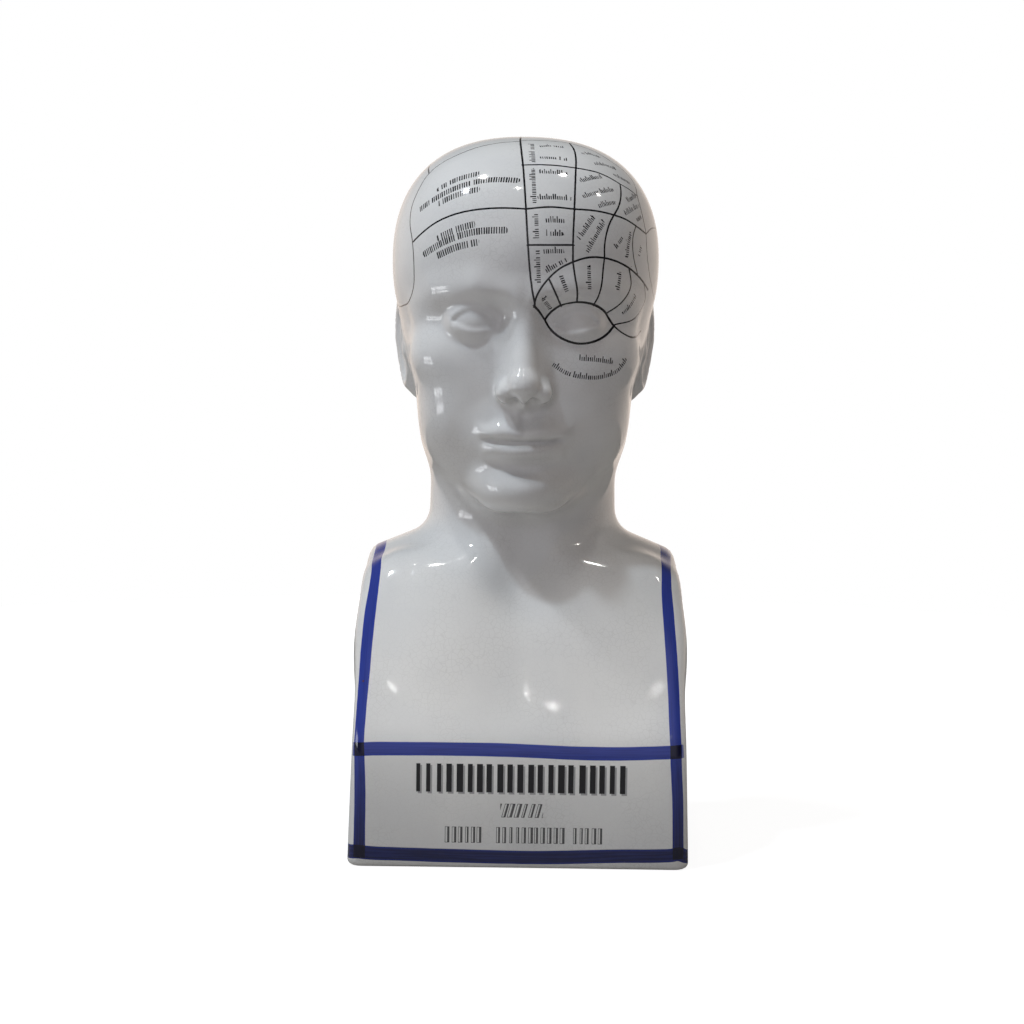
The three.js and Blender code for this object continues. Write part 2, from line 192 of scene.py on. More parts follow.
def earForm(p):
    lean = math.radians(12)
    y, z = p[1] - 0.07, p[2] - 0.43
    up = z * math.cos(lean) - y * math.sin(lean)
    back = y * math.cos(lean) + z * math.sin(lean)
    height = up / 0.14
    outward = np.hypot(back / (0.082 * (1 + 0.28 * height)), height)
    rim = 0.018 * bump(outward - 0.82, 0.15)
    fold = 0.01 * bump(outward - 0.48, 0.13) * np.clip(0.5 + back * 14, 0, 1)
    bowl = 0.024 * bump(np.hypot((back + 0.016) / 0.03, (up + 0.012) / 0.046), 1)
    surface = 0.01 + rim + fold - bowl - 0.012 * np.clip(-height, 0, 1)
    d = carve((outward - 1) * 0.07, surface - (p[0] - 0.318 - back * 0.25), 0.014)
    return blend(d, ellipsoid(p, (0.315, 0.012, 0.42), (0.022, 0.018, 0.028)), 0.015)


def headForm(x, y, z):
    p = (np.hypot(x, head["middleRound"]) / headTall, y / headTall, (z - chinZ) / headTall)
    d = blend(joined(p, headShapes["skullAndFace"]), noseForm(p), 0.03)
    d = blend(d, eyeForm(p), 0.016)
    return blend(mouthForm(p, d), earForm(p), 0.016) * headTall


def torsoForm(x, y, z):
    side = np.abs(x)
    leanAcross = (block["width"] - chest["shoulderWidth"]) / 2 / shoulderZ
    halfWidth = halfWide - leanAcross * z
    bend = chest["bendRound"]
    above = z - block["height"] - bend / 2
    leaning = np.where(np.abs(above) < bend, (above + bend) ** 2 / (4 * bend), np.maximum(above, 0))
    front = -halfDeep + chest["frontLean"] * leaning
    back = halfDeep - chest["backLean"] * leaning
    middle, halfDepth = (front + back) / 2, (back - front) / 2
    cornerX = side - halfWidth + block["corner"]
    cornerY = np.abs(y - middle) - halfDepth + block["corner"]
    wall = np.minimum(np.maximum(cornerX, cornerY), 0) - block["corner"]
    wall = wall + np.hypot(np.maximum(cornerX, 0), np.maximum(cornerY, 0))
    fromRidge = y - shoulders["ridgeY"]
    fall = np.where(fromRidge < 0, shoulders["frontFall"], shoulders["backFall"])
    ridge = shoulderZ + shoulders["rise"] - shoulders["slope"] * side
    steepness = np.sqrt(1 + shoulders["slope"] ** 2 + (2 * fall * fromRidge) ** 2)
    roof = (z - ridge + fall * fromRidge ** 2) / steepness
    ahead = np.clip((np.abs(y - middle) / halfDepth - side / halfWidth) * 2 + 0.5, 0, 1)
    more = shoulders["frontRound"] - shoulders["sideRound"]
    return carve(wall, -roof, shoulders["sideRound"] + more * ahead)


def neckForm(x, y, z):
    up = np.clip((z - chinZ + headTall * 0.27) / (headTall * 0.6), 0, 1)
    halfWidth = neck["width"] / 2 + neck["flare"] * (1 - up)
    outward = np.hypot(x / halfWidth, (y - 1 - 8 * up) / (neck["depth"] / 2))
    column = carve((outward - 1) * neck["depth"] / 2, chinZ + headTall / 3 - z, 10)
    behindJaw = (0.82 * neck["width"] / 2, 14, chinZ + headTall / 4, 6)
    pit = (0.26 * neck["width"] / 2, -0.76 * neck["depth"] / 2, shoulderZ + 4, 5)
    return blend(column, limb((np.abs(x), y, z), behindJaw, pit), neck["throatFillet"])


def chestForms(x, y, z, d):
    p = (np.hypot(x, chest["middleRound"]), y, z)
    boneZ, breastZ = shoulderZ - 6, block["height"] + chest["height"] / 2
    bone = limb(p, (0.18 * halfWide, -0.58 * halfDeep, boneZ, 1.5),
                (0.74 * halfWide, -0.41 * halfDeep, boneZ, 3))
    breastRadii = (halfWide / 2, 17, 0.42 * chest["height"])
    breast = ellipsoid(p, (0.4 * halfWide, -0.525 * halfDeep, breastZ), breastRadii)
    hollow = ellipsoid(p, (0, -0.83 * halfDeep, shoulderZ + 2), (7, 8, 11))
    return carve(blend(blend(d, bone, 18), breast, 16), hollow, 20)


def bustForm(points):
    x, y, z = points[:, 0], points[:, 1], points[:, 2]
    d = blend(torsoForm(x, y, z), neckForm(x, y, z), neck["fillet"])
    d = chestForms(x, y, z, d)
    d = blend(d, headForm(x, y, z), head["neckFillet"])
    return carve(d, z, block["footRound"] * 1.4)


def unit(vectors):
    return vectors / np.linalg.norm(vectors, axis=-1, keepdims=True)


def outwardFrom(points, reach=0.15):
    steps = np.eye(3) * reach
    return unit(np.stack([bustForm(points + step) - bustForm(points - step) for step in steps], 1))


def ontoBust(points):
    for _ in range(6):
        points = points - outwardFrom(points) * bustForm(points)[:, None]
    return points


# Rays from inside find the surface. Rings, from the crown down: rows to the next ring, then for the
# front, the side and the back the height a ray starts at, its reach and the height it aims at.
surface = {
    "columns": 400,
    "headRings": [  # in shares of the head's height
        (74, *[(0.57, 0, 1)] * 3),  # crown
        (14, (0.57, 0.39, 0.64), (0.57, 0.36, 0.67), (0.57, 0.45, 0.7)),  # brow
        (20, (0.57, 0.33, 0.553), (0.57, 0.36, 0.59), (0.57, 0.47, 0.64)),
        (18, (0.55, 0.33, 0.447), (0.55, 0.36, 0.49), (0.55, 0.47, 0.57)),
        (12, (0.55, 0.44, 0.333), (0.52, 0.36, 0.4), (0.55, 0.45, 0.49)),  # tip of the nose
        (16, (0.52, 0.39, 0.283), (0.49, 0.36, 0.35), (0.53, 0.44, 0.45)),
        (12, (0.33, 0.4, 0.191), (0.44, 0.33, 0.29), (0.51, 0.4, 0.4)),  # mouth
        (9, (0.31, 0.37, 0.117), (0.41, 0.31, 0.25), (0.49, 0.37, 0.37)),
        (9, (0.27, 0.4, 0.053), (0.39, 0.28, 0.21), (0.47, 0.35, 0.34)),  # chin
        (8, (0.23, 0.33, -0.003), (0.38, 0.27, 0.19), (0.46, 0.33, 0.31)),
        (12, (0.19, 0.2, -0.02), (0.37, 0.257, 0.13), (0.44, 0.28, 0.24)),  # throat
    ],
    "bodyRings": [  # in millimetres; True where the reach is an inset from the wall
        (12, (-6, 33, -1), (-24, 37.5, 14), (-14, 42, 10), False),  # foot of the neck
        (8, (-14, 16, -9), (-24, 6, 1), (-16, 10, 4), True),
        (10, (-26, 10, -26), (-16, 4, -16), (-22, 7, -22), True),  # wall
        (7, *[(-68, 0, -68)] * 3, True),
        (3, *[(-98.8, 0, -116)] * 3, True),
        (1, *[(-98.8, 2.2, -118)] * 3, True),
        (0, *[(-98.8, 0, -118)] * 3, False),  # middle of the underside
    ],
    "spans": [(16, 8), (36, 8), (80, 9), (118, 10), (180, 7)],  # up to these degrees, share
    "straight": 0.38,  # share of a quarter turn on each straight side of the block
    "startY": 2.0,
}


def headAngle(turn):
    degrees, shares = np.array([(0, 0), *surface["spans"]]).T
    edges = np.cumsum(shares) / sum(shares)
    half = np.where(turn <= 0.5, turn * 2, (1 - turn) * 2)
    angle = np.radians(np.interp(half, edges, degrees))
    return np.where(turn <= 0.5, angle, 2 * np.pi - angle)


def blockAngle(turn):  # keeps columns on the block's rounded corners
    quarter = np.floor(4 * turn).astype(int) % 4
    share = 4 * turn - np.floor(4 * turn)
    share = np.where(quarter % 2 == 1, 1 - share, share)
    straightX, straightY = halfWide - block["corner"], halfDeep - block["corner"]
    straight = surface["straight"]
    bend = np.clip((share - straight) / (1 - 2 * straight), 0, 1) * np.pi / 2
    x = straightX * np.clip(share / straight, 0, 1) + block["corner"] * np.sin(bend)
    y = straightY * np.clip((1 - share) / straight, 0, 1) + block["corner"] * np.cos(bend)
    angle = np.arctan2(x, y)
    return np.choose(quarter, [angle, np.pi - angle, np.pi + angle, 2 * np.pi - angle])


def ringTable():  # each ring's rows, its three aims in millimetres and whether they are insets
    rings = [(rows, np.array(aims) * headTall + (chinZ, 0, chinZ), False)
             for rows, *aims in surface["headRings"]]
    return rings + [(rows, np.array(aims) + (shoulderZ, 0, shoulderZ), inset)
                    for rows, *aims, inset in surface["bodyRings"]]


def surfaceRays():
    turn = np.arange(surface["columns"]) / surface["columns"]
    onHead, onBlock = headAngle(turn), blockAngle(turn)
    rings = ringTable()
    turningTo = len(surface["headRings"])
    starts, directions = [], []
    for index, (rowsHere, _, _) in enumerate(rings):
        for row in range(1 if index == 0 else 0, rowsHere):
            share = row / rowsHere
            turning = ramp(index + share, turningTo - 2, turningTo)
            angle = onHead + (onBlock - onHead) * turning
            c, s = np.cos(angle), np.sin(angle)
            weights = np.stack([np.clip(c, 0, 1) ** 2, s ** 2, np.clip(-c, 0, 1) ** 2], 1)
            aims = []
            for _, threeAims, inset in rings[index:index + 2]:
                aim = weights @ threeAims
                if inset:
                    across = halfWide / np.maximum(np.abs(s), 1e-6)
                    along = halfDeep / np.maximum(np.abs(c), 1e-6)
                    aim[:, 1] = np.minimum(across, along) - aim[:, 1]
                aims.append(aim)
            startZ, reach, height = (aims[0] + (aims[1] - aims[0]) * share).T
            startY = surface["startY"] * (1 - turning)
            starts.append(np.stack(np.broadcast_arrays(0, startY, startZ), 1))
            directions.append(np.stack([reach * s, -reach * c, height - startZ], 1))
    rowCount = len(starts)
    starts += [[(0, surface["startY"], rings[0][1][0, 0])], [(0, 0, rings[-1][1][0, 0])]]
    directions += [[(0, 0, 1)], [(0, 0, -1)]]
    return np.concatenate(starts), unit(np.concatenate(directions)), rowCount


def followRays(starts, directions):
    inside, outside = np.zeros(len(starts)), np.full(len(starts), 4.0)
    going = np.arange(len(starts))
    while len(going):
        d = bustForm(starts[going] + directions[going] * outside[going, None])
        still = d < 0
        going = going[still]
        inside[going] = outside[going]
        outside[going] += np.maximum(-d[still] * 0.8, 0.35)
    for _ in range(14):
        middle = (inside + outside) / 2
        within = bustForm(starts + directions * middle[:, None]) < 0
        inside = np.where(within, middle, inside)
        outside = np.where(within, outside, middle)
    return starts + directions * ((inside + outside) / 2)[:, None]


def bustMesh():
    starts, directions, rowCount = surfaceRays()
    points = followRays(starts, directions)
    columns = surface["columns"]
    index = np.arange(rowCount * columns).reshape(rowCount, columns)
    beside = np.roll(index, -1, 1)
    faces = np.stack([index[:-1], index[1:], beside[1:], beside[:-1]], -1).reshape(-1, 4).tolist()
    top, bottom = index.size, index.size + 1
    faces += [(top, *pair) for pair in zip(index[0], beside[0])]
    faces += [(bottom, *pair) for pair in zip(beside[-1], index[-1])]
    mesh = bpy.data.meshes.new("phrenologyBust")
    mesh.from_pydata((points * metres).tolist(), [], faces)
    mesh.shade_smooth()
    return mesh, points


# Places on the bust
def cameraAxes():
    elevation, lean = math.radians(camera["elevation"]), math.radians(camera["lean"])
    forward = np.array([0, math.cos(elevation), -math.sin(elevation)])
    level = np.array([1.0, 0, 0])
    rise = np.array([0, math.sin(elevation), math.cos(elevation)])
    right = level * math.cos(lean) + rise * math.sin(lean)
    up = rise * math.cos(lean) - level * math.sin(lean)
    return right, up, forward


def seen(pixels):  # points of the bust that the camera sees at these pixels
    right, up, forward = cameraAxes()
    pixels = np.reshape(pixels, (-1, 2)).astype(float)
    across = pixels[:, 0] - camera["targetPixel"][0]
    above = camera["targetPixel"][1] - pixels[:, 1]
    rays = unit(forward * camera["focalPixels"] + np.outer(across, right) + np.outer(above, up))
    eye = np.array(camera["target"]) - forward * camera["distance"]
    reach = np.full(len(pixels), camera["distance"] - 110)  # just in front of the bust
    closest, best = np.full(len(pixels), np.inf), reach.copy()
    for _ in range(90):  # steps a bit shorter than the distance to the form, till it is met
        d = bustForm(eye + rays * reach[:, None])
        nearer = d < closest
        closest, best = np.where(nearer, d, closest), np.where(nearer, reach, best)
        reach = reach + np.where(closest < 0.02, 0, np.clip(d * 0.7, 0.05, 20))
    return ontoBust(eye + rays * best[:, None])


def towards(turn, rise):  # unit vectors at degrees round from the front and above level
    turn, rise = np.radians(turn), np.radians(rise)
    return np.stack([np.sin(turn) * np.cos(rise), -np.cos(turn) * np.cos(rise), np.sin(rise)], -1)


def around(places):  # points of the head at degrees round and above level
    directions = towards(*np.reshape(places, (-1, 2)).T)
    middle = (0, 8.0, chinZ + 0.66 * headTall)
    return followRays(np.tile(middle, (len(directions), 1)), directions)


def smoothPath(corners, spacing=0.7):  # even curve through corners, on the bust
    gaps = np.maximum(np.linalg.norm(np.diff(corners, axis=0), axis=1), 1e-6)[:, None]
    slopes = np.diff(corners, axis=0) / gaps
    middle = (slopes[:-1] * gaps[1:] + slopes[1:] * gaps[:-1]) / (gaps[:-1] + gaps[1:])
    tangents = np.vstack([slopes[:1], middle, slopes[-1:]])
    path = []
    for start, end, t0, t1, gap in zip(corners, corners[1:], tangents, tangents[1:], gaps[:, 0]):
        t = np.linspace(0, 1, max(3, int(gap / spacing) + 1), endpoint=False)[:, None]
        path.append(start * (2 * t ** 3 - 3 * t ** 2 + 1) + end * (3 * t ** 2 - 2 * t ** 3)
                    + (t0 * (t ** 3 - 2 * t ** 2 + t) + t1 * (t ** 3 - t ** 2)) * gap)
    return ontoBust(np.vstack([*path, corners[-1:]]))


def measureAlong(points, path, reach):
    # nearby points, and their place along the path, to its side and past its ends
    spare = 4.0
    path = np.vstack([path[0] + unit(path[0] - path[1]) * spare, path,
                      path[-1] + unit(path[-1] - path[-2]) * spare])
    runs = np.diff(path, axis=0)
    lengths = np.linalg.norm(runs, axis=1)
    marks = np.concatenate([[0], np.cumsum(lengths)]) - spare
    facing = outwardFrom(path[:-1] + runs / 2)
    endCost = np.zeros(len(runs))
    endCost[[0, -1]] = 0.3  # the added ends count where nothing else is as near
    low, high = path.min(0) - reach, path.max(0) + reach
    near = np.flatnonzero(((points > low) & (points < high)).all(1))
    found = []
    for part in np.array_split(near, max(1, len(near) // 3000)):
        away = points[part][:, None] - path[None, :-1]
        share = np.clip((away * runs).sum(2) / lengths ** 2, 0, 1)
        gap = away - share[..., None] * runs
        distance = np.linalg.norm(gap, axis=2)
        pick = (distance + endCost).argmin(1)
        row = np.arange(len(part))
        side = np.sign((np.cross(runs[pick], gap[row, pick]) * facing[pick]).sum(1))
        along = marks[pick] + share[row, pick] * lengths[pick]
        found.append(np.stack([part, along, side * distance[row, pick],
                               np.maximum(-along, along + spare - marks[-1])], 1))
    index, along, side, past = np.vstack([each[np.abs(each[:, 2]) < reach] for each in found]).T
    return index.astype(int), along, side, past


class PrintLayers:
    # curves that stay clear of each other share a layer, which becomes one attribute of the mesh
    def __init__(self, name, points, clear, far=9.0):
        self.name, self.points, self.clear, self.far, self.layers = name, points, clear, far, []

    def lay(self, index, values, nearness):
        for held, kept in self.layers:
            if not ((kept[index] < self.clear) & (nearness < self.clear)).any():
                break
        else:
            held = np.tile([0.0, self.far, self.far], (len(self.points), 1))
            kept = np.full(len(self.points), self.far)
            self.layers.append((held, kept))
        closer = nearness < kept[index]
        held[index[closer]] = values[closer]
        kept[index[closer]] = nearness[closer]

    def store(self, mesh):
        names = [f"{self.name}{number}" for number in range(1, len(self.layers) + 1)]
        for name, (held, _) in zip(names, self.layers):
            attribute = mesh.attributes.new(name, "FLOAT_VECTOR", "POINT")
            attribute.data.foreach_set("vector", held.astype(np.float32).ravel())
        return names


def pathThrough(parts, spacing=0.7):
    # parts are seen pixels, places in millimetres, or degrees round the head and above level
    if not isinstance(parts[0], tuple):
        parts = [("seen", *parts)]
    kinds = {"seen": seen, "around": around, "at": lambda places: np.reshape(places, (-1, 3))}
    return smoothPath(np.vstack([kinds[kind](places) for kind, *places in parts]), spacing)


# Lines of the chart on the head: widths in millimetres, then the corners of each line. A plain list
# is pixels, x and y in turn.
chart = {
    "widths": {"main": 0.78, "bold": 0.98, "thin": 0.55},
    "gap": 1.8,  # closer lines than this don't share a layer
    "reach": 3.6,
    "main": [
        [("around", 180, -26, 180, 0, 180, 35, 180, 70, -30, 87), ("seen", 520.4, 139, 521.5, 152,
         523, 165, 526, 209, 528, 245, 530, 272, 532.5, 292, 535, 305)],
        [569, 143, 574.5, 151, 576, 160, 575.6, 175, 574.4, 209, 573, 245, 573, 262],
        [523, 165, 549, 165, 576, 168, 599, 173, 620, 184],
        [413, 242, 422, 233, 436, 222.5, 451, 215.5, 468, 211, 485, 208.7, 501, 208, 526, 209],
        [526, 209, 551, 207, 574, 209, 597, 211, 614, 215, 625, 219, 636, 226, 646, 234],
        [528, 245, 550, 245, 573, 245],
        [620, 184, 621, 193, 618, 208, 614, 215, 609, 225, 606, 236, 604.5, 247, 604.5, 258],
        [534, 307, 536, 298, 546.5, 281, 560, 268.5, 573, 262, 588, 257.6, 604.5, 258, 618, 262,
         629, 268, 639, 277, 648, 290],
        [549, 279, 555, 292, 561, 306], [573, 262, 576, 282, 577, 302],
        [604.5, 258, 602, 282, 594, 304.5], [629, 268, 631, 285, 622, 302, 607, 313],
        [614, 326, 621, 332, 629, 336.5, 637, 336, 641, 331],
    ],
    "bold": [
        [534, 306, 537, 309, 541, 314, 545, 320],
        [545, 320, 552, 311, 563, 304.5, 577, 302, 592, 304, 604, 311, 614, 326],
        [545, 320, 552, 331, 563, 339, 578, 343.5, 594, 341.5, 606, 335, 614, 326],
    ],
    "thin": [
        [620, 184, 629, 189.3, 637.3, 196], [("around", 112, 30, 135, 30, 180, 30)],
        [("seen", 646, 234, 650, 229.5, 655, 228), ("around", 104, 10, 135, 4, 180, 0)],
        [636, 226, 633.5, 234, 632.6, 246, 634, 259.5, 637.5, 274],
        [("seen", 520.4, 140.7, 531, 140.2, 541, 140.5, 551, 141, 561, 142, 569.4, 143.2, 576, 145,
         588.8, 149, 602, 155.6, 613.3, 163, 622.4, 169.8, 631, 178.6, 635.4, 187, 637.3, 196,
         642.5, 216, 645.8, 233, 647, 252, 649.5, 275, 652, 288), ("around", 90, -17, 103, -16,
         120, -23, 150, -27, 180, -27)],
        [644, 284, 645, 300, 636, 317, 613.5, 325],
        [("seen", 519.5, 141.5, 500, 142.8, 482.5, 146, 455, 156, 441, 163.5, 429, 173.5, 418, 191,
         412, 206, 410, 222.5, 412.5, 242, 414, 269, 413.5, 287, 410, 299, 402, 306),
         ("around", -94, -17, -103, -17, -120, -23, -150, -27, 180, -27)],
        [("seen", 429, 173.5, 428.5, 168.5), ("around", -104, 48, -128, 38, 180, 30)],
        [("around", -108, 46, -112, 22, -110, 4, -106, -17)], [("around", -111, 8, -135, 4, 180, 0)],
        [("around", -146, 34, -145, 18, -144, 2)], [("around", 146, 29, 145, 18, 144, 3)],
        [("around", 112, 30, 113, 18, 112, 8, 110, -18)], [("around", -140, 35, -150, 62, -178, 72)],
        [("around", 140, 30, 150, 60, 178, 70)],
    ],
}


def layChart(points):
    layers = PrintLayers("chartLine", points, chart["gap"])
    for weight, width in chart["widths"].items():
        for parts in chart[weight]:
            index, along, side, past = measureAlong(points, pathThrough(parts), chart["reach"])
            edge = np.maximum(past, np.abs(side) - 1.2)
            values = np.stack([side * chart["widths"]["main"] / width, edge, along], 1)
            layers.lay(index, values, np.maximum(np.abs(side), past))
    return layers


# Rows of strokes in the compartments: the height of the strokes, the cell of each one, and the
# pixels, or for those behind the degrees, that the middle of each row runs through
rows = {
    "left": (2.7, 1.0, [
        [437, 190, 457, 179.5, 479, 173.5],
        [419.5, 210, 437, 197.5, 457, 187.5, 484, 180.5, 519, 180.5], [438, 204, 458, 194.5, 480, 189],
        [437, 238.5, 455, 230, 474.5, 224], [423.5, 255, 446, 241, 474, 232, 507.5, 230],
        [437, 256, 457, 247, 478.5, 242],
    ]),
    "column": (2.6, 0.86, [
        [539, 146, 551, 145.5, 563.5, 147], [539.5, 157, 554, 157.5, 568, 159.5],
        [539, 171, 553, 171.5, 567, 173], [537, 196.8, 554, 196.6, 571.5, 198],
        [543, 219.5, 554, 219.3, 564.5, 220], [545.5, 232.6, 554, 232.6, 562.5, 233],
        [543, 250.5, 553, 250, 563.5, 250], [545, 270.5, 556, 264, 567, 258],
    ]),
    "uprightAndOuter": (2.4, 0.84, [
        [532.5, 162, 531.8, 152, 531, 143.5], [533.5, 203, 532.8, 186, 532, 169],
        [536, 239, 535.5, 226, 535, 213.5], [537.8, 283, 537.2, 267, 536.6, 250],
        [581, 153, 590, 153.6, 600, 157], [594, 163, 605, 164.5, 616, 169],
        [613, 174, 621, 177.5, 630, 183], [579.5, 180.5, 591, 177.5, 602.5, 176],
        [582, 196, 597, 191.5, 613, 189], [596.5, 206, 606, 203, 615.5, 201.5],
        [627, 200, 631, 197.5, 635.5, 194.5], [624.6, 213, 631.5, 208.5, 638.5, 204.5],
        [636.2, 219.5, 638.6, 217.6, 641, 215.8], [578, 238.5, 585.5, 227.5, 593, 216.5],
        [586.5, 251.5, 595, 236, 603.5, 221], [615, 247, 618.5, 242, 622, 237],
        [626.5, 257.5, 627.5, 245, 630, 232], [638.5, 256, 639.5, 251, 640.5, 246],
    ]),
    "fan": (2.5, 0.86, [
        [543.5, 297.5, 547.5, 303, 551.5, 308.5], [562, 275, 565, 283, 568, 291],
        [588.5, 290, 588.3, 278, 588, 266], [617, 290, 618.5, 281, 619.5, 272],
        [622, 313, 630, 305, 635.5, 294],
    ]),
    "cheek": (2.5, 0.84, [
        [579, 357.5, 595, 358.5, 612, 361],
        [553, 363, 566, 371.5, 584, 376, 603, 375.5, 618, 369, 625, 359],
    ]),
    "behind": (2.5, 0.88, [
        [-138, 24, -128, 26, -118, 30], [-170, 17, -161, 18, -152, 19], [-156, -11, -138, -9, -122, -6],
        [-106, 25, -102, 26, -97, 26], [92, 20, 99, 21, 106, 21], [95, -4, 101, -4, 107, -5],
        [118, 22, 126, 21, 136, 20], [122, -6, 138, -9, 156, -11], [152, 16, 161, 16, 171, 16],
        [168, 52, 180, 53, -168, 52],
    ]),
}


def layRows(points):
    layers = {name: PrintLayers(name, points, 0.9) for name in ("capitalRow", "wordRow")}
    for name, (height, cell, paths) in rows.items():
        kind = "around" if name == "behind" else "seen"
        for places in paths:
            path = pathThrough([(kind, *places)])
            index, along, side, past = measureAlong(points, path, height / 2 + 2.2)
            inside = np.maximum(past, np.abs(side) - height / 2)
            seed = 50 + 40 * int(rng.integers(4, 60))
            values = np.stack([along / cell + seed, side / height, inside], 1)
            layers["capitalRow" if name == "left" else "wordRow"].lay(index, values, inside)
    return layers


# Shader nodes
class NodeMaker:
    def __init__(self, tree):
        self.tree = tree

    def add(self, kind, inputs=None, **settings):
        made = self.tree.nodes.new("ShaderNode" + kind)
        for name, value in settings.items():
            setattr(made, name, value)
        for name, value in (inputs or {}).items():
            self.join(value, made.inputs[name])
        return made

    def join(self, value, socket):
        if isinstance(value, bpy.types.Node):
            value = value.outputs[0]
        if isinstance(value, bpy.types.NodeSocket):
            self.tree.links.new(value, socket)
        elif value is not None:
            socket.default_value = (*value, 1.0) if socket.type == "RGBA" else value

    def calc(self, operation, a, b=None, c=None, clamp=False):
        made = self.add("Math", {0: a, 1: b, 2: c}, operation=operation, use_clamp=clamp)
        return made.outputs[0]

    times = partialmethod(calc, "MULTIPLY")
    plus = partialmethod(calc, "ADD")
    minus = partialmethod(calc, "SUBTRACT")
    most = partialmethod(calc, "MAXIMUM")
    least = partialmethod(calc, "MINIMUM")
    over = partialmethod(calc, "GREATER_THAN")
    under = partialmethod(calc, "LESS_THAN")

    def vector(self, operation, a, b=None, output=0):
        return self.add("VectorMath", {0: a, 1: b}, operation=operation).outputs[output]

    def split(self, vector):
        return self.add("SeparateXYZ", {0: vector}).outputs

    def between(self, value, low, high, toLow=0.0, toHigh=1.0):
        return self.add("MapRange", {"Value": value, "From Min": low, "From Max": high, "To Min": toLow,
                                     "To Max": toHigh}, interpolation_type="SMOOTHSTEP").outputs[0]

    def noise(self, vector, scale, detail, roughness):
        return self.add("TexNoise", {"Vector": vector, "Scale": scale, "Detail": detail,
                                     "Roughness": roughness}).outputs

    def paint(self, share, under, over, blending="MIX"):
        inputs = {0: share, 6: under, 7: over}
        return self.add("Mix", inputs, data_type="RGBA", blend_type=blending).outputs[2]

    def group(self, tree, inputs):
        return self.add("Group", inputs, node_tree=tree).outputs

    def cameraSees(self, looked, otherwise, output):
        ray = self.add("LightPath").outputs["Is Camera Ray"]
        self.add(output, {"Surface": self.add("MixShader", {0: ray, 1: otherwise, 2: looked})})

    def surface(self, inputs):
        self.add("OutputMaterial", {"Surface": self.add("BsdfPrincipled", inputs)})

    def read(self, attribute):
        return self.add("Attribute", attribute_name=attribute).outputs["Vector"]


def emptied(owner):  # a maker for the nodes of a new material or world
    owner.use_nodes = True
    owner.node_tree.nodes.clear()
    return NodeMaker(owner.node_tree)


def newGroup(name, inputs, outputs):  # numbers in and out, but for inputs without one: vectors
    tree = bpy.data.node_groups.new(name, "ShaderNodeTree")
    for label, default in inputs.items():
        kind = "NodeSocketVector" if default is None else "NodeSocketFloat"
        socket = tree.interface.new_socket(label, in_out="INPUT", socket_type=kind)
        if default is not None:
            socket.default_value = default
    for label in outputs:
        tree.interface.new_socket(label, in_out="OUTPUT", socket_type="NodeSocketFloat")
    given, out = tree.nodes.new("NodeGroupInput"), tree.nodes.new("NodeGroupOutput")
    return tree, NodeMaker(tree), given.outputs, out.inputs


def printedLineGroup():
    # Value holds the distance to the line's side and how far past its end or side a place is
    tree, make, given, out = newGroup(
        "Printed line", {"Value": None, "Width": 0.6, "Fray": 0}, ["Mask"])
    side, past, _ = make.split(given["Value"])
    away = make.plus(make.most(make.calc("ABSOLUTE", side), past), given["Fray"])
    edge = make.minus(make.times(given["Width"], 0.5), away)
    make.join(make.between(edge, -0.05, 0.05), out["Mask"])
    return tree


def strokeRowGroup():
    # plain strokes side by side, each in its own cell; they spell nothing
    tree, make, given, out = newGroup(
        "Stroke row", {"Along": 0, "Across": 0, "Seed": 0, "Weight": 0.5, "Height": 3,
                       "Slant": 0, "Short Share": 0, "Gap Share": 0.1}, ["Mask", "Inset", "Side"])
    across = given["Across"]
    along = make.calc("MULTIPLY_ADD", across, given["Slant"], given["Along"])
    cell = make.calc("FLOOR", along)
    within = make.minus(make.minus(along, cell), 0.5)
    chance = make.add("TexWhiteNoise", {"W": make.plus(cell, given["Seed"])},
                      noise_dimensions="1D")
    _, shiftBy, widthBy = make.split(chance.outputs["Color"])
    kind = chance.outputs["Value"]
    offset = make.minus(within, make.calc("MULTIPLY_ADD", shiftBy, 0.16, -0.08))
    half = make.times(given["Weight"], make.calc("MULTIPLY_ADD", widthBy, 0.26, 0.36))
    short = make.over(kind, make.minus(1, given["Short Share"]))
    above = make.minus(make.calc("MULTIPLY_ADD", short, -0.36, 0.5), across)
    upright = make.least(above, make.plus(across, 0.5))
    inset = make.least(make.minus(half, make.calc("ABSOLUTE", offset)),
                      make.times(upright, given["Height"]))
    drawn = make.over(kind, given["Gap Share"])
    make.join(make.times(make.between(inset, -0.02, 0.03), drawn), out["Mask"])
    make.join(inset, out["Inset"])
    make.join(offset, out["Side"])
    return tree


def paintedBandGroup():
    # Value holds the place along the band, the distance to its middle and past its end
    tree, make, given, out = newGroup(
        "Painted band", {"Value": None, "Position": None, "Half Width": 2.4, "Waver": 0.3},
        ["Mask", "Edge", "Streak"])
    along, side, past = make.split(given["Value"])
    waver = make.noise(given["Position"], 60, 3, 0.5)[0]
    waver = make.times(make.minus(waver, 0.5), given["Waver"])
    away = make.most(make.calc("ABSOLUTE", side), make.plus(past, given["Half Width"]))
    inset = make.minus(given["Half Width"], make.plus(away, waver))
    make.join(make.between(inset, -0.08, 0.08), out["Mask"])
    make.join(make.between(inset, 0, 0.9, 1, 0), out["Edge"])
    brushed = make.add("CombineXYZ", {0: make.times(along, 0.03), 1: side})
    make.join(make.noise(brushed, 1.3, 2, 0.6)[0], out["Streak"])
    return tree


